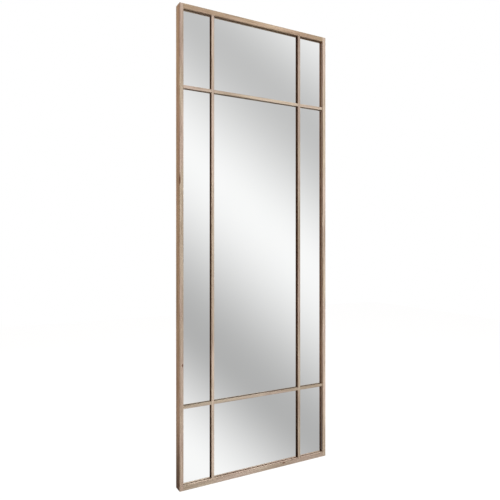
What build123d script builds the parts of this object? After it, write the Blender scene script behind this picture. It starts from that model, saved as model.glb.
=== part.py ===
from build123d import *
import os

os.makedirs("parts", exist_ok=True)

# A tall wall mirror with a slim wooden frame. Thin bars stand on one sheet of mirror
# glass and divide it into nine panes, like a window.
# X runs to the right, Y from the front towards the wall, and Z up, in millimetres.
# The origin is at the middle of the width and depth, on the bottom edge.

# Frame sizes
mirror_width = 700.0
mirror_height = 1900.0
frame_depth = 40.0
stile_face = 16.0
rail_face = 19.0
lip_depth = 10.0
lip_cover = 6.0
edge_round = 0.8

# Bar sizes
bar_face = 12.0
bar_recess = 3.0
bar_round = 0.5
bar_socket = 4.0
side_pane_width = 120.0
end_pane_height = 298.5

# Dowel sizes
dowel_diameter = 6.0
dowel_in_stile = 7.0
dowel_in_rail = 20.0
dowel_chamfer = 0.8
dowel_front_depth = 8.0
dowel_back_depth = 22.0

# Layers behind the lip
glass_thickness = 4.0
glass_arris = 0.5
tape_thickness = 1.0
tape_width = 25.0
tape_margin = 60.0
tape_count = 5
board_thickness = 5.0
batten_thickness = 14.0
batten_width = 40.0
batten_chamfer = 1.5
middle_batten_count = 2

# Screws that hold the board to the battens
board_screw_diameter = 3.5
board_screw_head = 7.0
board_screw_length = 16.0
board_screw_edge = 10.0
screw_point = 3.0
upright_screw_count = 4
cross_screw_count = 2

# Steel tabs that hold the back in the frame
tab_thickness = 0.5
tab_width = 5.5
tab_reach = 9.0
tab_bite = 6.0
tab_tip = 3.0
stile_tab_count = 6
rail_tab_count = 3

# Hangers
hanger_drop = 300.0
ring_wire = 3.0
ring_width = 32.0
ring_reach = 25.0
ring_bend = 4.0
strap_thickness = 1.2
strap_width = 12.0
strap_length = 45.0
strap_bend = 4.0
curl_wrap = 230.0
strap_corner = 5.4
strap_upper_hole = 9.0
strap_lower_hole = 36.0
hanger_screw_diameter = 3.5
hanger_screw_head = 6.8
hanger_head_height = 1.8
hanger_screw_length = 12.0

# Rubber bumpers on the back of the frame
bumper_diameter = 8.0
bumper_height = 2.0
bumper_round = 1.0
bumper_inset = 60.0

# Clearances
joint_clearance = 0.05
rebate_clearance = 1.0
ring_play = 0.1
ring_gap = 0.3

# Planes of depth, from the front to the wall
front_y = -(frame_depth + bumper_height) / 2
back_y = front_y + frame_depth
bar_front_y = front_y + bar_recess
glass_y = front_y + lip_depth
tape_y = glass_y + glass_thickness
board_y = tape_y + tape_thickness
batten_y = board_y + board_thickness
batten_back_y = batten_y + batten_thickness
dowel_depths = (dowel_front_depth, dowel_back_depth)

# Lines across the width and up the height
outer_x = mirror_width / 2
opening_x = outer_x - stile_face
rebate_x = opening_x + lip_cover
rail_wall = rail_face - lip_cover
middle_z = mirror_height / 2
bar_x = opening_x - side_pane_width - bar_face / 2
cross_bar_z = rail_face + end_pane_height + bar_face / 2
bar_depth = lip_depth - bar_recess
bar_positions = (-bar_x, bar_x)
cross_bar_heights = (cross_bar_z, mirror_height - cross_bar_z)
rails = {"bottom_rail": (0.0, 1), "top_rail": (mirror_height, -1)}

# The glass, the board and the battens share one outline inside the rebate
back_x = rebate_x - rebate_clearance
back_low_z = rail_wall + rebate_clearance
back_high_z = mirror_height - back_low_z
back_width = 2 * back_x
back_height = back_high_z - back_low_z


def facing_front(y):
    """A plane across the mirror at one depth, with X to the right and Z up."""
    return Plane.XZ.offset(-y)


def facing_wall(y):
    """The same plane seen from behind, so its own X runs to the left."""
    return Plane(origin=(0, y, 0), x_dir=(-1, 0, 0), z_dir=(0, 1, 0))


def spread(low, high, count):
    """The middles of count equal shares of the way from low to high."""
    share = (high - low) / count
    return [low + share * (index + 0.5) for index in range(count)]


# Places of the tabs: each points outwards into the wall of the frame
stile_tabs = {
    side: [
        Location((side * rebate_x, z, 0), (0, 0, 90 - 90 * side))
        for z in spread(back_low_z, back_high_z, stile_tab_count)
    ]
    for side in (-1, 1)
}
rail_tabs = {
    name: [
        Location((x, level + inward * rail_wall, 0), (0, 0, -90 * inward))
        for x in spread(-back_x, back_x, rail_tab_count)
    ]
    for name, (level, inward) in rails.items()
}

# Stiles: they run the full height, and their lip covers the edge of the glass
for name, side in (("left_stile", -1), ("right_stile", 1)):
    with BuildPart() as stile:
        with BuildSketch(Plane.XY):
            Polygon(
                (side * outer_x, front_y),
                (side * opening_x, front_y),
                (side * opening_x, glass_y),
                (side * rebate_x, glass_y),
                (side * rebate_x, back_y),
                (side * outer_x, back_y),
                align=None,
            )
        extrude(amount=mirror_height)
        front_face = stile.faces().sort_by(Axis.Y)[0]
        outer_face = stile.faces().sort_by(Axis.X)[0 if side < 0 else -1]
        fillet(front_face.edges() + outer_face.edges().filter_by(Axis.Y), radius=edge_round)
        with BuildSketch(facing_front(glass_y)):
            with Locations(*[(side * opening_x, z) for z in cross_bar_heights]):
                Rectangle(2 * bar_socket, bar_face + 2 * joint_clearance)
        extrude(amount=bar_depth, mode=Mode.SUBTRACT)
        with Locations(
            *[
                (side * rebate_x, glass_y + depth, level + inward * rail_wall / 2)
                for depth in dowel_depths
                for level, inward in rails.values()
            ]
        ):
            Cylinder(
                dowel_diameter / 2 + joint_clearance,
                2 * (dowel_in_stile + joint_clearance),
                rotation=(0, 90, 0),
                mode=Mode.SUBTRACT,
            )
        with BuildSketch(facing_front(batten_back_y)):
            with Locations(*stile_tabs[side]):
                Rectangle(2 * (tab_bite + joint_clearance), tab_width + 2 * joint_clearance)
        extrude(amount=-tab_thickness, mode=Mode.SUBTRACT)
    stile.part.label = name
    export_step(stile.part, f"parts/{name}.step")

# Rails: they fit between the stiles, with a longer shoulder behind the lip that fills
# the stile's rebate
for name, (level, inward) in rails.items():
    with BuildPart() as rail:
        with BuildSketch(Plane.YZ):
            with Locations(((front_y + glass_y) / 2, level + inward * rail_face / 2)):
                Rectangle(lip_depth, rail_face)
        extrude(amount=opening_x, both=True)
        with BuildSketch(Plane.YZ):
            with Locations(((glass_y + back_y) / 2, level + inward * rail_wall / 2)):
                Rectangle(back_y - glass_y, rail_wall)
        extrude(amount=rebate_x, both=True)
        front_face = rail.faces().sort_by(Axis.Y)[0]
        fillet(front_face.edges().filter_by(Axis.X), radius=edge_round)
        with BuildSketch(facing_front(glass_y)):
            with Locations(*[(x, level + inward * rail_face) for x in bar_positions]):
                Rectangle(bar_face + 2 * joint_clearance, 2 * bar_socket)
        extrude(amount=bar_depth, mode=Mode.SUBTRACT)
        with Locations(
            *[
                (side * rebate_x, glass_y + depth, level + inward * rail_wall / 2)
                for depth in dowel_depths
                for side in (-1, 1)
            ]
        ):
            Cylinder(
                dowel_diameter / 2 + joint_clearance,
                2 * (dowel_in_rail + joint_clearance),
                rotation=(0, 90, 0),
                mode=Mode.SUBTRACT,
            )
        with BuildSketch(facing_front(batten_back_y)):
            with Locations(*rail_tabs[name]):
                Rectangle(2 * (tab_bite + joint_clearance), tab_width + 2 * joint_clearance)
        extrude(amount=-tab_thickness, mode=Mode.SUBTRACT)
    rail.part.label = name
    export_step(rail.part, f"parts/{name}.step")

# Dowels: two in each corner, from the end of the rail into the wall of the stile
with BuildPart() as frame_dowels:
    with Locations(
        *[
            (
                side * (rebate_x + (dowel_in_stile - dowel_in_rail) / 2),
                glass_y + depth,
                level + inward * rail_wall / 2,
            )
            for side in (-1, 1)
            for depth in dowel_depths
            for level, inward in rails.values()
        ]
    ):
        Cylinder(dowel_diameter / 2, dowel_in_stile + dowel_in_rail, rotation=(0, 90, 0))
    chamfer(frame_dowels.edges().filter_by(GeomType.CIRCLE), length=dowel_chamfer)
frame_dowels.part.label = "frame_dowels"
export_step(frame_dowels.part, "parts/frame_dowels.step")

# Upright bars: they run through at the front of each crossing
upright_bar_length = mirror_height - 2 * (rail_face - bar_socket + joint_clearance)
for name, x in zip(("left_upright_bar", "right_upright_bar"), bar_positions):
    with BuildPart() as upright_bar:
        with BuildSketch(facing_front(glass_y)):
            with Locations((x, middle_z)):
                Rectangle(bar_face, upright_bar_length)
        extrude(amount=bar_depth)
        front_face = upright_bar.faces().sort_by(Axis.Y)[0]
        fillet(front_face.edges().filter_by(Axis.Z), radius=bar_round)
        with BuildSketch(facing_front(glass_y)):
            with Locations(*[(x, z) for z in cross_bar_heights]):
                Rectangle(bar_face, bar_face + 2 * joint_clearance)
        extrude(amount=bar_depth / 2, mode=Mode.SUBTRACT)
    upright_bar.part.label = name
    export_step(upright_bar.part, f"parts/{name}.step")

# Cross bars: each is halved where it passes behind an upright bar
cross_bar_length = 2 * (opening_x + bar_socket - joint_clearance)
for name, z in zip(("lower_cross_bar", "upper_cross_bar"), cross_bar_heights):
    with BuildPart() as cross_bar:
        with BuildSketch(facing_front(glass_y)):
            with Locations((0, z)):
                Rectangle(cross_bar_length, bar_face)
        extrude(amount=bar_depth)
        front_face = cross_bar.faces().sort_by(Axis.Y)[0]
        fillet(front_face.edges().filter_by(Axis.X), radius=bar_round)
        with BuildSketch(facing_front(bar_front_y)):
            with Locations(*[(x, z) for x in bar_positions]):
                Rectangle(bar_face + 2 * joint_clearance, bar_face)
        extrude(amount=-bar_depth / 2, mode=Mode.SUBTRACT)
    cross_bar.part.label = name
    export_step(cross_bar.part, f"parts/{name}.step")

# Mirror glass: one sheet behind the lip and the bars, with ground edges
with BuildPart() as mirror_glass:
    with BuildSketch(facing_front(glass_y)):
        with Locations((0, middle_z)):
            Rectangle(back_width, back_height)
    extrude(amount=-glass_thickness)
    broad_faces = mirror_glass.faces().filter_by(Axis.Y)
    chamfer(broad_faces.edges(), length=glass_arris)
mirror_glass.part.label = "mirror_glass"
export_step(mirror_glass.part, "parts/mirror_glass.step")

# Foam tape: upright strips that bond the glass to the backing board
with BuildPart() as mirror_tape:
    with BuildSketch(facing_front(tape_y)):
        with Locations(*[(x, middle_z) for x in spread(-back_x, back_x, tape_count)]):
            Rectangle(tape_width, back_height - 2 * tape_margin)
    extrude(amount=-tape_thickness)
mirror_tape.part.label = "mirror_tape"
export_step(mirror_tape.part, "parts/mirror_tape.step")

# Plan of the battens behind the board: centre, width and height of each
inner_x = back_x - batten_width
upright_batten_x = back_x - batten_width / 2
end_batten_z = (back_low_z + batten_width / 2, back_high_z - batten_width / 2)
middle_batten_names = [f"middle_batten_{index + 1}" for index in range(middle_batten_count)]
middle_pitch = (end_batten_z[1] - end_batten_z[0]) / (middle_batten_count + 1)
upright_battens = {
    "left_batten": -1,
    "right_batten": 1,
}
cross_battens = {
    "bottom_batten": end_batten_z[0],
    "top_batten": end_batten_z[1],
}
for index, name in enumerate(middle_batten_names):
    cross_battens[name] = end_batten_z[0] + middle_pitch * (index + 1)

# Places of the board screws, by batten
screw_places = {}
for name, side in upright_battens.items():
    screw_x = side * (back_x - board_screw_edge)
    screw_places[name] = [
        (screw_x, z) for z in spread(back_low_z, back_high_z, upright_screw_count)
    ]
for name, z in cross_battens.items():
    screw_places[name] = [(x, z) for x in spread(-inner_x, inner_x, cross_screw_count)]
all_screw_places = [place for places in screw_places.values() for place in places]

# Backing board, countersunk from the front so that the screw heads lie under the glass
with BuildPart() as backing_board:
    with BuildSketch(facing_front(board_y)):
        with Locations((0, middle_z)):
            Rectangle(back_width, back_height)
    extrude(amount=-board_thickness)
    with Locations(facing_front(board_y)):
        with Locations(*all_screw_places):
            CounterSinkHole(
                radius=board_screw_diameter / 2 + joint_clearance,
                counter_sink_radius=board_screw_head / 2 + joint_clearance,
                counter_sink_angle=90,
            )
backing_board.part.label = "backing_board"
export_step(backing_board.part, "parts/backing_board.step")

# Places of the hangers and of their screws
hanger_x = upright_batten_x
hanger_z = mirror_height - hanger_drop
hanger_y = batten_back_y + strap_thickness + ring_gap + ring_wire / 2
hanger_screw_heights = (hanger_z - strap_upper_hole, hanger_z - strap_lower_hole)

# Upright battens, which also take the hanger screws from behind
for name, side in upright_battens.items():
    with BuildPart() as upright_batten:
        with BuildSketch(facing_front(batten_y)):
            with Locations((side * upright_batten_x, middle_z)):
                Rectangle(batten_width, back_height)
        extrude(amount=-batten_thickness)
        rear_face = upright_batten.faces().sort_by(Axis.Y)[-1]
        chamfer(rear_face.edges().filter_by(Axis.Z), length=batten_chamfer)
        with Locations(facing_front(batten_y)):
            with Locations(*screw_places[name]):
                Hole(
                    board_screw_diameter / 2 + joint_clearance,
                    depth=board_screw_length - board_thickness + joint_clearance,
                )
        with Locations(facing_wall(batten_back_y)):
            with Locations(*[(-side * hanger_x, z) for z in hanger_screw_heights]):
                Hole(
                    hanger_screw_diameter / 2 + joint_clearance,
                    depth=hanger_screw_length - strap_thickness + joint_clearance,
                )
    upright_batten.part.label = name
    export_step(upright_batten.part, f"parts/{name}.step")

# Cross battens, at the ends and across the middle
for name, z in cross_battens.items():
    with BuildPart() as cross_batten:
        with BuildSketch(facing_front(batten_y)):
            with Locations((0, z)):
                Rectangle(2 * inner_x, batten_width)
        extrude(amount=-batten_thickness)
        rear_face = cross_batten.faces().sort_by(Axis.Y)[-1]
        chamfer(rear_face.edges().filter_by(Axis.X), length=batten_chamfer)
        with Locations(facing_front(batten_y)):
            with Locations(*screw_places[name]):
                Hole(
                    board_screw_diameter / 2 + joint_clearance,
                    depth=board_screw_length - board_thickness + joint_clearance,
                )
    cross_batten.part.label = name
    export_step(cross_batten.part, f"parts/{name}.step")

# One countersunk screw, head upwards at the origin, and its copies in the board
head_radius = board_screw_head / 2
shank_radius = board_screw_diameter / 2
with BuildPart() as countersunk_screw:
    with BuildSketch(Plane.XZ):
        Polygon(
            (0, 0),
            (head_radius, 0),
            (shank_radius, shank_radius - head_radius),
            (shank_radius, screw_point - board_screw_length),
            (0, -board_screw_length),
            align=None,
        )
    revolve(axis=Axis.Z)
with BuildPart() as board_screws:
    with Locations(facing_front(board_y)):
        with Locations(*all_screw_places):
            add(countersunk_screw.part)
board_screws.part.label = "board_screws"
export_step(board_screws.part, "parts/board_screws.step")

# Retaining tabs: pointed steel plates that lie on the battens and bite into the frame
with BuildPart() as retaining_tabs:
    with BuildSketch(facing_front(batten_back_y)):
        with Locations(*stile_tabs[-1], *stile_tabs[1], *rail_tabs["bottom_rail"], *rail_tabs["top_rail"]):
            Polygon(
                (-tab_reach, -tab_width / 2),
                (tab_bite - tab_tip, -tab_width / 2),
                (tab_bite, 0),
                (tab_bite - tab_tip, tab_width / 2),
                (-tab_reach, tab_width / 2),
                align=None,
            )
    extrude(amount=-tab_thickness)
retaining_tabs.part.label = "retaining_tabs"
export_step(retaining_tabs.part, "parts/retaining_tabs.step")

# Hanger straps: a flat plate whose upper end is curled round the straight side of the ring
curl_inner = ring_wire / 2 + ring_play
curl_outer = curl_inner + strap_thickness
for name, side in (("left_hanger_strap", -1), ("right_hanger_strap", 1)):
    with BuildPart() as hanger_strap:
        with BuildSketch(Plane.YZ.offset(side * hanger_x)):
            with BuildLine():
                outer_curl = CenterArc((hanger_y, hanger_z), curl_outer, 180, -curl_wrap)
                inner_curl = CenterArc((hanger_y, hanger_z), curl_inner, 180, -curl_wrap)
                Line(outer_curl @ 1, inner_curl @ 1)
                Polyline(
                    inner_curl @ 0,
                    (batten_back_y + strap_thickness, hanger_z - strap_bend),
                    (batten_back_y + strap_thickness, hanger_z - strap_length),
                    (batten_back_y, hanger_z - strap_length),
                    (batten_back_y, hanger_z - strap_bend),
                    outer_curl @ 0,
                )
            make_face()
        extrude(amount=strap_width / 2, both=True)
        lower_corners = hanger_strap.edges().filter_by(Axis.Y).sort_by(Axis.Z)[:2]
        fillet(lower_corners, radius=strap_corner)
        with Locations(facing_wall(batten_back_y + strap_thickness)):
            with Locations(*[(-side * hanger_x, z) for z in hanger_screw_heights]):
                Hole(hanger_screw_diameter / 2 + joint_clearance, depth=strap_thickness)
    hanger_strap.part.label = name
    export_step(hanger_strap.part, f"parts/{name}.step")

# Hanger rings: round wire bent to a D, hanging from its straight side
ring_half = (ring_width - ring_wire) / 2
ring_leg = ring_reach - ring_half
for name, side in (("left_hanger_ring", -1), ("right_hanger_ring", 1)):
    ring_x = side * hanger_x
    with BuildPart() as hanger_ring:
        with BuildLine(facing_front(hanger_y)) as ring_path:
            FilletPolyline(
                (ring_x - ring_half, hanger_z - ring_leg),
                (ring_x - ring_half, hanger_z),
                (ring_x + ring_half, hanger_z),
                (ring_x + ring_half, hanger_z - ring_leg),
                radius=ring_bend,
            )
            CenterArc((ring_x, hanger_z - ring_leg), ring_half, 0, -180)
        ring_wire_path = ring_path.wire()
        with BuildSketch(Plane(ring_wire_path @ 0, z_dir=ring_wire_path % 0)):
            Circle(ring_wire / 2)
        sweep(path=ring_wire_path)
    hanger_ring.part.label = name
    export_step(hanger_ring.part, f"parts/{name}.step")

# One pan-head screw, head upwards from the origin, and its copies in the straps
pan_radius = hanger_screw_head / 2
pan_shank_radius = hanger_screw_diameter / 2
pan_dome = (pan_radius**2 + hanger_head_height**2) / (2 * hanger_head_height)
with BuildPart() as pan_head_screw:
    with BuildSketch(Plane.XZ):
        with BuildLine():
            pan_top = RadiusArc((0, hanger_head_height), (pan_radius, 0), pan_dome)
            Polyline(
                pan_top @ 1,
                (pan_shank_radius, 0),
                (pan_shank_radius, screw_point - hanger_screw_length),
                (0, -hanger_screw_length),
                pan_top @ 0,
            )
        make_face()
    revolve(axis=Axis.Z)
with BuildPart() as hanger_screws:
    with Locations(facing_wall(batten_back_y + strap_thickness)):
        with Locations(*[(x, z) for x in (-hanger_x, hanger_x) for z in hanger_screw_heights]):
            add(pan_head_screw.part)
hanger_screws.part.label = "hanger_screws"
export_step(hanger_screws.part, "parts/hanger_screws.step")

# Wall bumpers: rubber pads that keep the frame off the wall
with BuildPart() as wall_bumpers:
    bumper_x = (outer_x + rebate_x) / 2
    with BuildSketch(facing_wall(back_y)):
        with Locations(
            *[
                (x, z)
                for x in (-bumper_x, bumper_x)
                for z in (bumper_inset, mirror_height - bumper_inset)
            ]
        ):
            Circle(bumper_diameter / 2)
    extrude(amount=bumper_height)
    fillet(wall_bumpers.edges().filter_by(GeomType.CIRCLE).group_by(Axis.Y)[-1], radius=bumper_round)
wall_bumpers.part.label = "wall_bumpers"
export_step(wall_bumpers.part, "parts/wall_bumpers.step")
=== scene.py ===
# %% [markdown]
# # A tall window-pane mirror
# The mirror hangs on a wall: a slim oak frame, four thin oak bars that stand on one
# sheet of mirror glass, and a plain pine and fibreboard back. The wooden and metal
# pieces come with their true shape, so this lesson gives them their finish, models
# what the eye needs more of, and lights the whole.

# %% Load the pieces
import math

import bpy
from mathutils import Matrix, Vector


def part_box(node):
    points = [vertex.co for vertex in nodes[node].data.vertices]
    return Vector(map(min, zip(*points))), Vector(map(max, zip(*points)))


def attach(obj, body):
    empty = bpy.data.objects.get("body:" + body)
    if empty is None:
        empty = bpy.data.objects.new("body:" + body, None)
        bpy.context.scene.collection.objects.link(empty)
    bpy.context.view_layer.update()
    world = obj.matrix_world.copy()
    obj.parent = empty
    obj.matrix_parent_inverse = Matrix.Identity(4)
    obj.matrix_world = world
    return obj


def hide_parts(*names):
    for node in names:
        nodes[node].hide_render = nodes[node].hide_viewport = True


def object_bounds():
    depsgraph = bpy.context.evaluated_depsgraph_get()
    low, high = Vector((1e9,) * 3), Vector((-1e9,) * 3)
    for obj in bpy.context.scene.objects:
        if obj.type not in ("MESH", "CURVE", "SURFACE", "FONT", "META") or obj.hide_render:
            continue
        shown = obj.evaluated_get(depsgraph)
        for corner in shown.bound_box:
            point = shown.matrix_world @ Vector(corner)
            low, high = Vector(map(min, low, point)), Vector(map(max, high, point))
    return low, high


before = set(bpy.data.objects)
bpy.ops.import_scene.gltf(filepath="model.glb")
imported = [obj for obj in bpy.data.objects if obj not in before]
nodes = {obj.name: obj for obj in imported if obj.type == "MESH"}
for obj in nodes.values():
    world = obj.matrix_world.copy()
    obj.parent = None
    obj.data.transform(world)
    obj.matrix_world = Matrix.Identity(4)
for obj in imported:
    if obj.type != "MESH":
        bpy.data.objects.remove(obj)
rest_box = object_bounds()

MM = 0.001
print("pieces that came in:", len(nodes))

# %% [markdown]
# ## The camera
# The picture was taken from the left, level, at half the height of the mirror. The
# camera could be tipped to centre the object, but a level one keeps the stiles upright
# in the picture, so a small lens shift does that instead. Its place is measured from
# the front left edge of the frame.

# %% Camera
left_x, front_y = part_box("left_stile")[0][:2]
camera_side = 672.6 * MM
camera_distance = 1821.1 * MM
camera_height = 955.5 * MM
camera_turn = math.radians(28.35)
focal_length = 35.69
sensor_width = 36.0
horizon_shift = -0.0088

camera_data = bpy.data.cameras.new("camera")
camera_data.lens = focal_length
camera_data.sensor_width = sensor_width
camera_data.shift_y = horizon_shift
camera = bpy.data.objects.new("camera", camera_data)
bpy.context.scene.collection.objects.link(camera)
camera.location = (left_x - camera_side, front_y - camera_distance, camera_height)
camera.rotation_euler = (math.radians(90.0), 0.0, -camera_turn)
bpy.context.scene.camera = camera
bpy.context.scene.view_settings.view_transform = "Standard"
print("camera stands at", [round(value, 3) for value in camera.location])

# %% [markdown]
# ## Shader maths
# Grain, pores and wear are sums of noises. Math nodes joined by hand give the same
# picture, but they are hard to read and to change. So a small class wraps a socket, and
# a plain expression such as `late_wood * 0.5 + 0.5` adds the Math nodes for it.


# %% Signals
class Signal:
    """A number at every point of a surface, for use in Python expressions."""

    def __init__(self, finish, socket):
        self.finish = finish
        self.socket = socket

    def maths(self, operation, *values):
        return self.finish.node("ShaderNodeMath", dict(enumerate(values)), operation=operation)

    def __add__(self, other):
        return self.maths("ADD", self, other)

    def __sub__(self, other):
        return self.maths("SUBTRACT", self, other)

    def __mul__(self, other):
        return self.maths("MULTIPLY", self, other)

    def __truediv__(self, other):
        return self.maths("DIVIDE", self, other)

    def __rsub__(self, other):
        return self.maths("SUBTRACT", other, self)

    __radd__ = __add__
    __rmul__ = __mul__

    def power(self, exponent):
        return self.maths("POWER", self, exponent)

    def least(self, other):
        return self.maths("MINIMUM", self, other)

    def most(self, other):
        return self.maths("MAXIMUM", self, other)

    def size(self):
        return self.maths("ABSOLUTE", self)

    def wave(self):
        return self.maths("SINE", self)

    def root(self):
        return self.maths("SQRT", self)

    def angle(self, other):
        return self.maths("ARCTAN2", self, other)

    def ease(self, low, high):
        """0 below low and 1 above high, with a smooth step between."""
        inputs = {"Value": self, "From Min": low, "From Max": high}
        return self.finish.node("ShaderNodeMapRange", inputs, interpolation_type="SMOOTHSTEP")


# %% [markdown]
# ## One way to make a node
# A material, and the world too, is a tree of nodes. Each could be set up by hand in the
# shader editor. Here one method makes any node, and the few that this lesson uses often
# get a short name: place, noise, grain, blend and bump. Noise that is finer across the
# wood than along it is what makes a plank look like a plank.


# %% Finishes
class Finish:
    """A material or a world, built from nodes that one method makes."""

    def __init__(self, owner):
        owner.use_nodes = True
        self.owner = owner
        self.tree = owner.node_tree
        self.tree.nodes.clear()

    def node(self, kind, inputs, output=0, stops=(), **settings):
        made = self.tree.nodes.new(kind)
        for name, value in settings.items():
            setattr(made, name, value)
        if stops:
            self.set_stops(made.color_ramp, stops)
        for name, value in inputs.items():
            if isinstance(value, Signal):
                self.tree.links.new(value.socket, made.inputs[name])
            else:
                made.inputs[name].default_value = value
        return Signal(self, made.outputs[output]) if made.outputs else made

    def set_stops(self, ramp, stops):
        ramp.interpolation = "EASE"
        while len(ramp.elements) > 1:
            ramp.elements.remove(ramp.elements[-1])
        ramp.elements[0].position, ramp.elements[0].color = stops[0]
        for place, shade in stops[1:]:
            ramp.elements.new(place).color = shade

    def place(self):
        """The point on the surface, in metres, in the frame of the whole mirror."""
        return self.node("ShaderNodeTexCoord", {}, output="Object")

    def split(self, vector):
        outputs = self.node("ShaderNodeSeparateXYZ", {"Vector": vector}).socket.node.outputs
        return [Signal(self, outputs[axis]) for axis in "XYZ"]

    def join(self, x, y, z):
        return self.node("ShaderNodeCombineXYZ", {"X": x, "Y": y, "Z": z})

    def noise(self, vector, scale=1.0, detail=2.0, roughness=0.5):
        inputs = {"Vector": vector, "Scale": scale, "Detail": detail, "Roughness": roughness}
        return self.node("ShaderNodeTexNoise", inputs, output="Fac")

    def grain(self, point, across, along, seed=0.0, deep=None, detail=2.0):
        """Noise drawn out along the wood; across, along and deep count its spots per metre."""
        side, depth, length = point
        deep = across if deep is None else deep
        vector = self.join(side * across, depth * deep, length * along + seed)
        return self.noise(vector, detail=detail)

    def blend(self, share, first, second, kind="MIX"):
        """A mix of two colours by a share from 0 to 1."""
        settings = {"data_type": "RGBA", "blend_type": kind}
        return self.node("ShaderNodeMix", {0: share, 6: first, 7: second}, output=2, **settings)

    def bump(self, height, distance, strength=1.0):
        inputs = {"Height": height, "Distance": distance, "Strength": strength}
        return self.node("ShaderNodeBump", inputs, output="Normal")

    def surface(self, **sockets):
        """The Principled shader with these sockets, joined to the output."""
        inputs = {name.replace("_", " "): value for name, value in sockets.items()}
        shader = self.node("ShaderNodeBsdfPrincipled", inputs)
        self.node("ShaderNodeOutputMaterial", {"Surface": shader})


# %% [markdown]
# ## Colours and dressing
# A colour picked on a screen is a display value from 0 to 255, while a shader takes
# linear light. It could be typed in as linear numbers, but display values are the ones
# that a painter knows, so a helper turns them over. Another gives a piece its finish.


# %% Helpers for colours and pieces
def colour(red, green, blue):
    """A colour written in display values, as the linear one that a shader takes."""
    def linear(value):
        share = value / 255
        return share / 12.92 if share <= 0.04045 else ((share + 0.055) / 1.055) ** 2.4
    return (linear(red), linear(green), linear(blue), 1.0)


def new_finish(name):
    return Finish(bpy.data.materials.new(name))


def dress(piece, finish):
    """Gives a piece one finish in all its slots."""
    piece.data.materials.clear()
    piece.data.materials.append(finish.owner)
    for face in piece.data.polygons:
        face.material_index = 0


# %% [markdown]
# ## Oak: growth rings
# The oak of the frame is pale and slightly grey, finely sanded, with straight grain
# along every member. A flat picture of wood would not meet at the edges. Real grain is
# a stack of growth rings cut by the faces of the piece, so the pattern is made in three
# dimensions: the distance from the heart of the tree gives the rings, slow noise bends
# them, and knots push them aside. The ends then show end grain by themselves.

# %% Growth rings
ring_width = 2.4 * MM
full_turn = 2.0 * math.pi


def rings(finish, point, heart, seed, knots):
    """How far each point is into the late wood of its ring, and the dark eyes of knots."""
    side, depth, length = point
    slow = finish.grain(point, 14.0, 1.1, seed, detail=1.5)
    fine = finish.grain(point, 90.0, 6.0, seed)
    bend = (slow - 0.5) * (16.0 * MM) + (fine - 0.5) * (1.6 * MM)
    eye = None
    for knot_length, knot_side, knot_depth, size, stretch in knots:
        down = (length - knot_length) / (stretch * size)
        sideways = ((side - knot_side) / size).power(2.0)
        inwards = ((depth - knot_depth) / size).power(2.0)
        distance = (down * down + sideways + inwards).root()
        bend = bend + (1.0 - distance / 3.2).most(0.0).power(2.0) * (2.4 * size)
        spot = 1.0 - distance.ease(0.35, 1.15)
        eye = spot if eye is None else eye.most(spot)
    from_heart = ((side - heart[0]).power(2.0) + (depth - heart[1]).power(2.0)).root()
    turns = (from_heart + bend) / ring_width
    late_wood = ((turns * full_turn).wave() * 0.5 + 0.5).power(2.5)
    return late_wood, eye


# %% [markdown]
# ## Oak: colours, streaks and pores
# Oak shows dark streaks, short open pores and pale flecks. They could be painted one by
# one, but each is a noise drawn out along the grain, with its own fineness. They are laid
# over the rings as a painter glazes: each layer has a mask, a strength and a colour.

# %% Oak colours and layers
OAK_LIGHT = colour(210, 199, 187)
OAK_MIDDLE = colour(176, 162, 150)
OAK_DARK = colour(134, 116, 102)
OAK_PORE = colour(98, 79, 65)
KNOT_BROWN = colour(96, 56, 40)
PINKISH = (1.00, 0.965, 0.955, 1.0)
YELLOWISH = (0.975, 0.985, 0.910, 1.0)


def oak_grain(finish, point, heart, tone, tint, knots):
    """The colour of planed oak, and the fields that its roughness and bump need."""
    seed = heart[0] * 37.0 + heart[1] * 11.0
    late_wood, eye = rings(finish, point, heart, seed, knots)
    broad = finish.grain(point, 40.0, 3.5, seed)
    streak = finish.grain(point, 260.0, 5.0, seed, detail=3.0)
    veins = finish.grain(point, 150.0, 12.0, -seed, detail=3.0)
    pores = finish.grain(point, 2100.0, 120.0, seed).ease(0.58, 0.70) * (late_wood * 0.55 + 0.45)
    flecks = finish.grain(point, 500.0, 70.0, seed, deep=120.0)
    layers = (
        (late_wood, 0.42, OAK_DARK),
        (streak.ease(0.42, 0.70), 0.45, OAK_DARK),
        (veins.ease(0.55, 0.72), 0.45, OAK_DARK),
        (flecks.ease(0.62, 0.74), 0.40, OAK_LIGHT),
        (pores, 0.60, OAK_PORE),
    )
    lightness = (broad * 3.2 - 1.1 + tone).most(0.0).least(1.0)
    base = finish.blend(lightness, OAK_MIDDLE, OAK_LIGHT)
    for mask, strength, shade in layers:
        base = finish.blend(mask * strength, base, shade)
    warmth = finish.grain(point, 25.0, -5.0, seed).ease(0.35, 0.65)
    hue = finish.blend(warmth, PINKISH, YELLOWISH)
    base = finish.blend(1.0, base, hue, kind="MULTIPLY")
    base = finish.blend(1.0, base, tint, kind="MULTIPLY")
    if eye is not None:
        base = finish.blend(eye * 0.88, base, KNOT_BROWN)
    return base, late_wood, pores, streak, broad


# %% [markdown]
# ## Oak: edges, and painted shade on sides, feet and glass line
# Handling darkens the edges of a frame. Painted shade makes the sides browner and darker
# than the face, darker still towards the bottom of the uprights, and a dark line where the
# wood meets the glass; painted light makes the sides of the bottom rail paler. All of it
# depends on the place on the piece, so its box gives the distances, and no mask has to be
# painted by hand.

# %% Oak finish
WHITE = (1.0, 1.0, 1.0, 1.0)
# Painted shade for the dark line on the wood where it meets the glass.
CONTACT_SHADE_DARK = colour(46, 34, 26)
# Painted shade towards the bottom of the uprights' sides.
FOOT_SHADE = colour(66, 42, 24)
edge_wear = 1.6 * MM
foot_shade_height = 360.0 * MM
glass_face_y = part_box("mirror_glass")[0][1]
opening_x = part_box("right_stile")[0][0]


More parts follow.
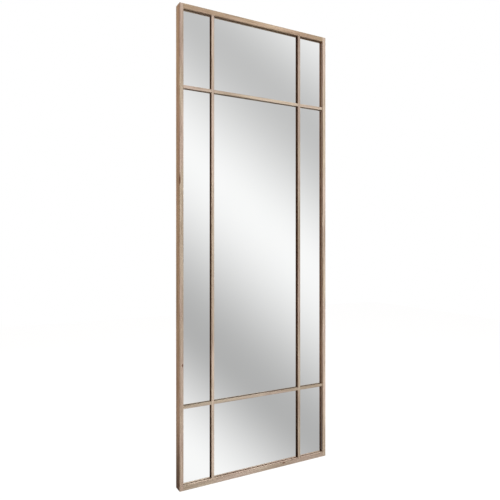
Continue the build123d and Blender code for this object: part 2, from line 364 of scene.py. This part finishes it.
def oak(node, grain, heart, tone, tint=WHITE, side_tint=WHITE, glued=0.95, knots=()):
    """Oak for one node, with its grain along Z or X. heart is the place of the middle of the
    tree across the grain, tone makes the plank lighter or darker, tint colours it, the side
    tint paints light and shade onto its sides, the contact strength sets how dark the painted
    shade line on the glass is, and a knot is its place along, across and in depth, its size
    and how far it is drawn out."""
    finish = new_finish(f"oak_{node}")
    x, depth, z = finish.split(finish.place())
    upright = grain == "Z"
    side, length = (x, z) if upright else (z, x)
    point = (side, depth, length)
    base, late_wood, pores, streak, broad = oak_grain(finish, point, heart, tone, tint, knots)

    low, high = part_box(node)
    across_axis = 0 if upright else 2
    to_edge = (side - low[across_axis]).least(high[across_axis] - side).most(0.0)
    to_front = (depth - low[1]).most(0.0)
    worn = (1.0 - (to_edge + to_front) / edge_wear).most(0.0)
    base = finish.blend(worn * 0.20, base, OAK_DARK)

    # Painted light and shade on the sides: the side tint browns and darkens them, and lightens
    # them on the bottom rail.
    painted_side_shade = finish.blend(1.0, base, side_tint, kind="MULTIPLY")
    if upright:
        # Painted shade: the sides of the uprights grow darker towards their bottom.
        foot_shade = 1.0 - z.ease(0.0, foot_shade_height)
        painted_side_shade = finish.blend(foot_shade * 0.80, painted_side_shade, FOOT_SHADE)
    deep = high[1] - low[1]
    base = finish.blend(to_front.ease(0.03 * deep, 0.08 * deep), base, painted_side_shade)

    # Painted shade: a dark line on the wood where it meets the glass, inside the opening.
    inside = 1.0 - x.size().ease(opening_x + 0.1 * MM, opening_x + 0.6 * MM)
    glue = (1.0 - (depth - glass_face_y).size().ease(0.2 * MM, 0.8 * MM)) * inside
    base = finish.blend(glue * glued, base, CONTACT_SHADE_DARK)

    height = (1.0 - pores) * 0.7 + (1.0 - late_wood) * 0.2 + streak * 0.1
    finish.surface(
        Base_Color=base,
        Roughness=0.66 - late_wood * 0.08 + pores * 0.14 + (broad - 0.5) * 0.12 - worn * 0.1,
        Normal=finish.bump(height, 0.12 * MM, 0.6),
        Specular_IOR_Level=0.12,
    )
    return finish


# %% [markdown]
# ## Eight planks
# One oak finish on all members would make them look cut from one block. Each is a plank
# of its own, so its tree has its heart elsewhere and its tone and tint differ a little.
# The left stile and the bottom rail keep small knots. A knot is cut where the tree had a
# branch, so it is placed in depth too, and one near a corner shows on both faces.

# %% Planks
# The side tints are painted light and shade: three brown and darken the sides, and one lightens
# the sides of the bottom rail.
STILE_SIDE_SHADE = (0.99, 0.87, 0.75, 1.0)
SHADED_SIDE = (1.10, 0.80, 0.56, 1.0)
BAR_SIDE_SHADE = (0.78, 0.64, 0.54, 1.0)
RAIL_SIDE_LIGHT = (1.65, 1.67, 1.70, 1.0)
YELLOW = (0.98, 0.93, 0.83, 1.0)
GREYED = (0.95, 0.97, 0.98, 1.0)
DIM = (0.92, 0.93, 0.93, 1.0)
corner_knot = (1212 * MM, left_x + 1 * MM, front_y + 2 * MM, 4.8 * MM, 6.0)
face_knot = (489 * MM, left_x + 12 * MM, front_y, 3.6 * MM, 2.2)
rail_knot = (127 * MM, 14 * MM, front_y, 3.8 * MM, 2.2)


def plank(node, grain, heart_side, heart_depth, tone, **looks):
    """Dresses a member in oak whose tree had its heart at this place, in millimetres."""
    heart = (heart_side * MM, heart_depth * MM)
    dress(nodes[node], oak(node, grain, heart, tone, **looks))
    print("oak for", node)


# Below, each plank sets how dark its painted shade line on the glass is.
stile_looks = {"side_tint": STILE_SIDE_SHADE, "glued": 0.90, "knots": (corner_knot, face_knot)}
rail_looks = {"tint": GREYED, "side_tint": RAIL_SIDE_LIGHT, "glued": 0.10, "knots": (rail_knot,)}
plank("left_stile", "Z", -290, 40, -0.05, **stile_looks)
plank("right_stile", "Z", 415, 55, 0.30, side_tint=SHADED_SIDE)
plank("top_rail", "X", 1960, 35, -0.15, tint=YELLOW, glued=0.30)
plank("bottom_rail", "X", -55, 50, -0.20, **rail_looks)
plank("left_upright_bar", "Z", -150, 30, 0.35, side_tint=BAR_SIDE_SHADE)
plank("right_upright_bar", "Z", 270, 45, -0.15, tint=DIM, side_tint=BAR_SIDE_SHADE)
plank("upper_cross_bar", "X", 1655, 50, 0.80, glued=0.40)
plank("lower_cross_bar", "X", 270, 35, -0.15, tint=GREYED)

# %% [markdown]
# ## Pine
# Behind the glass nobody sees fine wood, so the battens are planed pine: yellower than
# oak, with wider rings, round knots and a dry surface on which the planer's knives left
# fine ripples. The oak could be recoloured, but pine has no open pores, and a short
# recipe of its own is clearer.

# %% Pine
PINE_LIGHT = colour(222, 192, 150)
PINE_DARK = colour(182, 132, 82)
PINE_KNOT = colour(108, 66, 36)
pine_ring_width = 4.2 * MM


def pine(name, grain, heart, knots):
    """Planed pine with wide rings along Z or X, and round knots."""
    finish = new_finish(name)
    x, depth, z = finish.split(finish.place())
    side, length = (x, z) if grain == "Z" else (z, x)
    point = (side, depth, length)
    seed = heart[0] * 23.0 + heart[1] * 7.0
    bend = (finish.grain(point, 10.0, 1.4, seed, detail=1.5) - 0.5) * (34.0 * MM)
    eye = None
    for knot_length, knot_side, radius in knots:
        down = (length - knot_length) / (1.5 * radius)
        across = (side - knot_side) / radius
        distance = (down * down + across * across).root()
        bend = bend + (1.0 - distance / 3.0).most(0.0).power(2.0) * (2.0 * radius)
        spot = 1.0 - distance.ease(0.75, 1.1)
        eye = spot if eye is None else eye.most(spot)
    from_heart = ((side - heart[0]).power(2.0) + (depth - heart[1]).power(2.0)).root() + bend
    late_wood = ((from_heart / pine_ring_width * full_turn).wave() * 0.5 + 0.5).power(3.0)
    streak = finish.grain(point, 220.0, 4.0, seed, detail=3.0)
    base = finish.blend(late_wood * 0.75, PINE_LIGHT, PINE_DARK)
    base = finish.blend(streak.ease(0.45, 0.8) * 0.3, base, PINE_DARK)
    if eye is not None:
        base = finish.blend(eye * 0.9, base, PINE_KNOT)
    ripples = finish.grain(point, 60.0, 900.0, detail=1.0)
    finish.surface(
        Base_Color=base,
        Roughness=0.72 - late_wood * 0.12,
        Normal=finish.bump(late_wood * 0.5 + ripples * 0.3 + streak * 0.2, 0.15 * MM, 0.5),
        Specular_IOR_Level=0.3,
    )
    return finish


# %% [markdown]
# ## The battens
# Six battens stiffen the board, two upright and four across. Chance could place their
# knots, but listed one by one they never fall on a joint or a hanger. A knot is a length along
# the batten, a step off its middle line and a radius, all in millimetres. The tree's heart
# lies behind each batten, so its face is flat sawn, which shows wide arches.

# %% Battens
batten_knots = {
    "left_batten": ((710, 7, 6.0),),
    "right_batten": ((170, -7, 5.5),),
    "bottom_batten": (),
    "middle_batten_1": ((-140, -6, 7.0), (210, 9, 4.5)),
    "middle_batten_2": ((50, 8, 6.0),),
    "top_batten": ((-220, 3, 6.5),),
}
heart_aside = 21.0 * MM
heart_behind = 60.0 * MM
for name, knots in batten_knots.items():
    low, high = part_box(name)
    upright = high[2] - low[2] > high[0] - low[0]
    side_axis = 0 if upright else 2
    middle = (low[side_axis] + high[side_axis]) / 2
    heart = (middle + heart_aside, high[1] + heart_behind)
    placed = [(place * MM, middle + step * MM, radius * MM) for place, step, radius in knots]
    dress(nodes[name], pine(f"pine_{name}", "Z" if upright else "X", heart, placed))
print("battens:", len(batten_knots))

# %% [markdown]
# ## Fibreboard
# The board at the back is brown fibreboard: pressed fibres that lie in every direction,
# with paler chips among them. As it has no grain, plain noise in three finenesses is
# enough: clouds for the colour, fibres for the relief, and specks for the chips.

# %% Fibreboard
board = new_finish("fibreboard")
board_place = board.place()
clouds = board.noise(board_place, scale=14.0, detail=3.0)
fibres = board.noise(board_place, scale=900.0, detail=4.0, roughness=0.7)
chips = board.noise(board_place, scale=420.0, detail=1.0).ease(0.66, 0.74)
board_tint = board.blend(clouds, colour(122, 86, 58), colour(142, 103, 71))
board_tint = board.blend(fibres.ease(0.35, 0.7) * 0.45, board_tint, colour(104, 72, 47))
board_tint = board.blend(chips * 0.4, board_tint, colour(168, 130, 94))
board.surface(
    Base_Color=board_tint,
    Roughness=0.55 + fibres * 0.2,
    Normal=board.bump(fibres, 0.08 * MM, 0.5),
    Specular_IOR_Level=0.35,
)
dress(nodes["backing_board"], board)
print("board finish has", len(board.tree.nodes), "nodes")

# %% [markdown]
# ## Beech and foam
# Beech dowels sit in the corners of the frame, and foam tape keeps the glass off the
# board. Both are hidden, but someone may take the mirror apart, so they get a plain
# finish of their own: fine streaks for the beech, small open cells for the foam.

# %% Beech and foam
beech = new_finish("beech")
beech_x, beech_y, beech_z = beech.split(beech.place())
beech_streak = beech.grain((beech_y, beech_z, beech_x), 500.0, 30.0, detail=3.0)
beech_tint = beech.blend(beech_streak, colour(196, 158, 118), colour(216, 180, 140))
beech.surface(Base_Color=beech_tint, Roughness=0.6 + beech_streak * 0.1)
dress(nodes["frame_dowels"], beech)

foam = new_finish("foam_tape")
cells = foam.noise(foam.place(), scale=1400.0, detail=2.0)
foam_tint = foam.blend(cells, colour(205, 205, 200), colour(232, 232, 228))
foam.surface(Base_Color=foam_tint, Roughness=0.8, Normal=foam.bump(cells, 0.1 * MM, 0.5))
dress(nodes["mirror_tape"], foam)
print("hidden finishes:", beech.owner.name, foam.owner.name)

# %% [markdown]
# ## Metal
# The straps and rings are nickel plated, the screws zinc plated, and the tabs blued
# spring steel. A metal of one even roughness looks like plastic film. Rolling leaves fine
# lines and handling leaves cloudy patches, so both change the roughness a little.


# %% Metal
def plated(name, pale, deep, roughness):
    """Plated or blued sheet steel with clouds and fine rolling lines."""
    finish = new_finish(name)
    place = finish.place()
    x, y, z = finish.split(place)
    clouds = finish.noise(place, scale=240.0, detail=3.0)
    lines = finish.grain((x, y, z), 2600.0, 60.0, detail=2.0)
    finish.surface(
        Base_Color=finish.blend(clouds.ease(0.3, 0.75), pale, deep),
        Metallic=1.0,
        Roughness=roughness + (clouds - 0.5) * 0.18 + (lines - 0.5) * 0.12,
        Normal=finish.bump(lines, 0.02 * MM, 0.35),
    )
    return finish


nickel = plated("nickel_steel", (0.74, 0.72, 0.68, 1.0), (0.58, 0.56, 0.53, 1.0), 0.30)
zinc = plated("zinc_steel", (0.72, 0.74, 0.76, 1.0), (0.56, 0.58, 0.61, 1.0), 0.34)
blued = plated("spring_steel", (0.24, 0.25, 0.29, 1.0), (0.14, 0.15, 0.18, 1.0), 0.38)
for side in ("left", "right"):
    dress(nodes[f"{side}_hanger_strap"], nickel)
    dress(nodes[f"{side}_hanger_ring"], nickel)
dress(nodes["board_screws"], zinc)
dress(nodes["hanger_screws"], zinc)
dress(nodes["retaining_tabs"], blued)
print("metals:", nickel.owner.name, zinc.owner.name, blued.owner.name)

# %% [markdown]
# ## Rubber
# The bumpers keep the frame off the wall. They are matt black rubber, moulded, with a
# faint grit. Pure black would lose their shape, so the darkest tone is a dark grey.

# %% Rubber
rubber = new_finish("bumper_rubber")
grit = rubber.noise(rubber.place(), scale=1800.0, detail=3.0)
rubber.surface(
    Base_Color=rubber.blend(grit, colour(34, 34, 36), colour(52, 52, 54)),
    Roughness=0.62 + grit * 0.2,
    Normal=rubber.bump(grit, 0.05 * MM, 0.5),
)
dress(nodes["wall_bumpers"], rubber)
print("rubber finish has", len(rubber.tree.nodes), "nodes")

# %% [markdown]
# ## Tools for modelling
# The next pieces are modelled as by hand: a primitive, a few edits, a modifier. By hand
# the right piece and faces are picked with the mouse. In a script they are picked by
# their normal, and all else is let go of first, because an operator acts on whatever is
# chosen. A finished piece keeps its place in its mesh, as the pieces that came in do.

# %% Modelling helpers
facing = 0.999


def only(piece):
    """Makes a piece the one that is chosen."""
    for other in bpy.context.selected_objects:
        other.select_set(False)
    piece.select_set(True)
    bpy.context.view_layer.objects.active = piece


def bake_place(piece):
    """Moves the place, turn and size of a piece into its mesh."""
    only(piece)
    bpy.ops.object.transform_apply(location=True, rotation=True, scale=True)


def apply_modifier(piece, name, kind, **settings):
    only(piece)
    modifier = piece.modifiers.new(name, kind)
    for setting, value in settings.items():
        setattr(modifier, setting, value)
    bpy.ops.object.modifier_apply(modifier=modifier.name)


def select_faces(piece, test):
    """Leaves edit mode on, with just the faces chosen whose normal passes the test."""
    bpy.ops.object.mode_set(mode="EDIT")
    bpy.ops.mesh.select_mode(type="FACE")
    bpy.ops.mesh.select_all(action="DESELECT")
    bpy.ops.object.mode_set(mode="OBJECT")
    for face in piece.data.polygons:
        face.select = test(face.normal)
    bpy.ops.object.mode_set(mode="EDIT")


# %% [markdown]
# ## The mirror
# The silver lies on the back of 4 mm of glass, so a reflection starts a little behind
# the wood that stands on the glass. Seen through glass, 4 mm looks like 2.6 mm. Clear
# glass over silver is slow to render and noisy. A slab whose reflecting face is sunk by
# that much looks the same, and stays a mirror in every viewer. Its rim, under the lip of
# the frame, keeps the full thickness and the ground edges.

# %% Mirror sheet
glass_low, glass_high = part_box("mirror_glass")
glass_index = 1.52
sunk = (glass_high[1] - glass_low[1]) / glass_index
rim = 3.0 * MM
step = 0.05 * MM
arris = 0.5 * MM
middle = [(low + high) / 2 for low, high in zip(glass_low, glass_high)]
sides = [high - low for low, high in zip(glass_low, glass_high)]
bpy.ops.mesh.primitive_cube_add(size=1.0, location=middle, scale=sides)
mirror_sheet = bpy.context.object
mirror_sheet.name = "mirror_sheet"
bake_place(mirror_sheet)
apply_modifier(mirror_sheet, "ground_edges", "BEVEL", width=arris, segments=2)
select_faces(mirror_sheet, lambda normal: normal.y < -facing)
bpy.ops.mesh.inset(thickness=rim, depth=0.0)
bpy.ops.mesh.inset(thickness=step, depth=-sunk)
bpy.ops.object.mode_set(mode="OBJECT")
print("mirror face sunk by", round(sunk / MM, 2), "mm")

# %% [markdown]
# ## Silver
# Silvered glass reflects nine tenths of the light, a trace less in red than in green.
# The film is not perfect: faint clouds change its tint by a hair, and a haze too weak to
# see by itself keeps it from looking computed.

# %% Silver
SILVER_DEEP = (0.905, 0.915, 0.910, 1.0)
SILVER_PALE = (0.925, 0.930, 0.925, 1.0)
silver = new_finish("silvered_glass")
film = silver.noise(silver.place(), scale=6.0, detail=3.0)
silver.surface(
    Base_Color=silver.blend(film, SILVER_DEEP, SILVER_PALE),
    Metallic=1.0,
    Roughness=(film - 0.3).most(0.0) * 0.02,
)
dress(mirror_sheet, silver)
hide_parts("mirror_glass")
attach(mirror_sheet, "mirror_body")
print("mirror sheet faces:", len(mirror_sheet.data.polygons))

# %% [markdown]
# ## A pan-head screw
# The hanger screws that came in have plain domes. A real one is cold formed: a pan head
# with a rounded rim and a cross recess. It could be turned as one profile, but only a cut
# makes the recess, so a disc is rounded, two tapered wedges cut the cross, and the shank
# is pulled out of its underside.

# %% Head and recess
head_radius = 3.4 * MM
head_height = 1.8 * MM
crown = 1.5 * MM
cross_foot = 0.30 * MM
cross_mouth = 0.62 * MM
cross_depth = 1.5 * MM
cross_middle = head_height - 0.55 * MM
cross_reach = 4.2


def wedge(turn):
    """One arm of the screwdriver's cross, narrow at its lower end."""
    bpy.ops.mesh.primitive_cone_add(
        vertices=4, radius1=cross_foot, radius2=cross_mouth, depth=cross_depth,
        location=(0.0, 0.0, cross_middle), rotation=(0.0, 0.0, math.radians(45.0)),
    )
    arm = bpy.context.object
    bake_place(arm)
    arm.scale = (cross_reach, 1.0, 1.0)
    arm.rotation_euler = (0.0, 0.0, turn)
    bake_place(arm)
    return arm


bpy.ops.mesh.primitive_cylinder_add(
    vertices=48, radius=head_radius, depth=head_height, location=(0.0, 0.0, head_height / 2)
)
screw = bpy.context.object
screw.name = "pan_head_screw"
bake_place(screw)
select_faces(screw, lambda normal: normal.z > facing)
bpy.ops.mesh.bevel(offset=crown, segments=8, affect="EDGES", profile=0.5)
bpy.ops.object.mode_set(mode="OBJECT")
for turn in (0.0, math.radians(90.0)):
    arm = wedge(turn)
    apply_modifier(screw, "recess", "BOOLEAN", operation="DIFFERENCE", object=arm, solver="EXACT")
    bpy.data.objects.remove(arm)
print("faces of the head:", len(screw.data.polygons))

# %% [markdown]
# ## The shank
# The shank is hidden in the batten, but the screw is a whole piece. Its underside is
# inset to the width of the shank, pulled down, and drawn together to the tip. A thread
# would never be seen, so it is left out.

# %% Shank
shank_radius = 1.75 * MM
tip = 3.0 * MM
screw_low, screw_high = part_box("hanger_screws")
shank_length = screw_high[1] - screw_low[1] - head_height


def pull_down(length):
    """Draws the chosen face downwards, with new sides behind it."""
    bpy.ops.mesh.extrude_region_move(TRANSFORM_OT_translate={"value": (0.0, 0.0, -length)})


select_faces(screw, lambda normal: normal.z < -facing)
bpy.ops.mesh.inset(thickness=head_radius - shank_radius, depth=0.0)
pull_down(shank_length - tip)
pull_down(tip)
bpy.ops.mesh.merge(type="CENTER")
bpy.ops.object.mode_set(mode="OBJECT")
only(screw)
bpy.ops.object.shade_smooth_by_angle(angle=math.radians(35.0))
dress(screw, zinc)
print("faces of the screw:", len(screw.data.polygons))

# %% [markdown]
# ## Four screws
# Two screws hold each strap. They could share one mesh, but each gets its own, so that
# its place and turn go into the mesh. The turns differ, as screws end up in wood. Their
# places are the corners of the box round the screws that came in.

# %% Four screws
turns = (12.0, 48.0, 71.0, 27.0)
places = [
    (x, screw_high[1] - head_height, z)
    for x in (screw_low[0] + head_radius, screw_high[0] - head_radius)
    for z in (screw_low[2] + head_radius, screw_high[2] - head_radius)
]
screws = [screw] + [screw.copy() for _ in places[1:]]
for number, piece in enumerate(screws, start=1):
    if piece is not screw:
        piece.data = screw.data.copy()
        bpy.context.scene.collection.objects.link(piece)
    piece.name = f"hanger_screw_{number}"
lie_down = Matrix.Rotation(math.radians(-90.0), 4, "X")
for piece, place, turn in zip(screws, places, turns):
    spin = Matrix.Rotation(math.radians(turn), 4, "Z")
    piece.data.transform(Matrix.Translation(place) @ lie_down @ spin)
    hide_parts("hanger_screws")
    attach(piece, "mirror_body")
print("screws:", [piece.name for piece in screws])

# %% [markdown]
# ## The room that the mirror sees
# A mirror shows what is in front of it. In the photograph that is a plain studio with
# soft diagonal bands of light and shade. Cards could be set up for them, but they would
# have to be huge. The world is simpler: it is bright by the angle about one slanted line,
# so every viewing angle has its own bands. A pair below is the middle of a light or a
# dark band, as an angle in degrees, and how bright the room is there. Between two middles
# the light changes smoothly.

# %% Bands
widest = 55.0
bands = (
    (-52.0, 0.55), (-42.7, 0.95), (-35.4, 0.52), (-22.0, 1.02), (-11.5, 0.475), (2.8, 1.02),
    (14.75, 0.575), (24.5, 1.00), (35.5, 0.62), (43.2, 0.95), (51.7, 0.50),
)
coolness = 1.003
band_slope = 0.9
forward = Vector((math.sin(camera_turn), -math.cos(camera_turn), 0.0))
right = Vector((math.cos(camera_turn), math.sin(camera_turn), 0.0))
over_bands = (Vector((0.0, 0.0, 1.0)) + band_slope * right).normalized()

world = Finish(bpy.data.worlds.new("studio"))
bpy.context.scene.world = world.owner
direction = world.node("ShaderNodeTexCoord", {}, output="Generated")


def along(vector):
    """How far the direction that is looked in points along a vector."""
    inputs = {0: direction, 1: tuple(vector)}
    return world.node("ShaderNodeVectorMath", inputs, "Value", operation="DOT_PRODUCT")


tilt = along(over_bands).angle(along(forward)) * math.degrees(1.0)
share = (tilt / (2.0 * widest) + 0.5).most(0.0).least(1.0)
stops = [
    (degrees / (2.0 * widest) + 0.5, (bright, bright, bright * coolness, 1.0))
    for degrees, bright in bands
]
reflected = world.node("ShaderNodeValToRGB", {"Fac": share}, stops=stops)
print("bands:", len(bands))

# %% [markdown]
# ## The light on the matt surfaces
# Wood and board need an even, weak light from the room, warm from the left and pale from
# the right. If it had the bands too, they would show as patches on the wood. The Light
# Path node tells the rays apart: the camera sees white, a mirror sees the bands, and
# everything matt gets the even light.

# %% Fill light
WARM_SIDE = (0.235, 0.120, 0.060, 1.0)
COOL_SIDE = (0.420, 0.425, 0.430, 1.0)
BLACK = (0.0, 0.0, 0.0, 1.0)
path = world.node("ShaderNodeLightPath", {}).socket.node
is_camera = Signal(world, path.outputs["Is Camera Ray"])
is_glossy = Signal(world, path.outputs["Is Glossy Ray"])
was_matt = Signal(world, path.outputs["Diffuse Depth"]).least(1.0)
to_right = along((1.0, 0.0, 0.0)).ease(0.0, 1.0)
upwards = along((0.0, 0.0, 1.0))
fill_light = world.blend(to_right, WARM_SIDE, COOL_SIDE)
fill_light = world.blend(upwards * 0.3 + 0.7, BLACK, fill_light)
seen = world.blend(is_glossy * (1.0 - was_matt), fill_light, reflected)
seen = world.blend(is_camera, seen, WHITE)
background = world.node("ShaderNodeBackground", {"Color": seen, "Strength": 1.0})
world.node("ShaderNodeOutputWorld", {"Surface": background})
print("world nodes:", len(world.tree.nodes))

# %% [markdown]
# ## The floor
# The mirror hangs clear of the floor. A sheet of white paper lies below it and keeps its
# soft shadow. Plain paper would show its far edge as a grey horizon, so for the camera it
# also glows a little, until it is as white as the background.

# %% Floor
floor_drop = 0.35
floor_size = 14.0
PAPER_GREY = (0.60, 0.60, 0.60, 1.0)
glow_strength = 1.08
glow_share = 0.9

bpy.ops.mesh.primitive_plane_add(size=floor_size, location=(0.0, 0.0, -floor_drop))
floor = bpy.context.object
floor.name = "studio_floor"
paper = new_finish("studio_paper")
for_camera = paper.node("ShaderNodeLightPath", {}, output="Is Camera Ray") * glow_share
matt = paper.node("ShaderNodeBsdfDiffuse", {"Color": PAPER_GREY})
glow = paper.node("ShaderNodeEmission", {"Color": WHITE, "Strength": glow_strength})
mixed = paper.node("ShaderNodeMixShader", {0: for_camera, 1: matt, 2: glow})
paper.node("ShaderNodeOutputMaterial", {"Surface": mixed})
dress(floor, paper)
floor.visible_glossy = False
print("floor lies", floor_drop, "m below the mirror")

# %% [markdown]
# ## Lamps
# A large lamp stands high in front, one hangs overhead and lights the upper faces of the
# rails, a small warm one behind on the left reaches the side of the frame, and one behind
# on the right lights the back. Large square lamps give soft shadows, as studio boxes do.
# No mirror sees them, or they would show as bright squares in the glass.


# %% Lamps
def lamp(name, place, target, size, power, tint=(1.0, 1.0, 1.0)):
    """A square soft lamp that faces its target."""
    data = bpy.data.lights.new(name, "AREA")
    data.size = size
    data.energy = power
    data.color = tint
    made = bpy.data.objects.new(name, data)
    bpy.context.scene.collection.objects.link(made)
    made.location = place
    made.rotation_euler = (Vector(target) - Vector(place)).to_track_quat("-Z", "Y").to_euler()
    made.visible_glossy = False
    print("lamp:", name, power, "W")


half_way_up = rest_box[1][2] / 2
heart_of_mirror = (0.0, 0.0, half_way_up)
left_side = (left_x, 0.0, 1.2)
lamp("key", (1.3, -4.2, 1.9), heart_of_mirror, 2.2, 130.0, (1.0, 0.99, 0.975))
lamp("overhead", (0.3, -0.6, 7.0), (0.0, 0.0, 0.0), 3.0, 380.0, (1.0, 0.98, 0.96))
lamp("behind_left", (-1.8, 1.1, 2.3), left_side, 1.0, 22.0, (1.0, 0.90, 0.80))
lamp("behind", (1.4, 3.6, 2.2), heart_of_mirror, 2.0, 110.0)

# %% [markdown]
# ## Measure and finish
# The new pieces stay inside the box of the pieces that came in. The height of that box is
# printed.

# %% Measure and finish
print("height of the mirror:", round(rest_box[1][2], 3), "m")
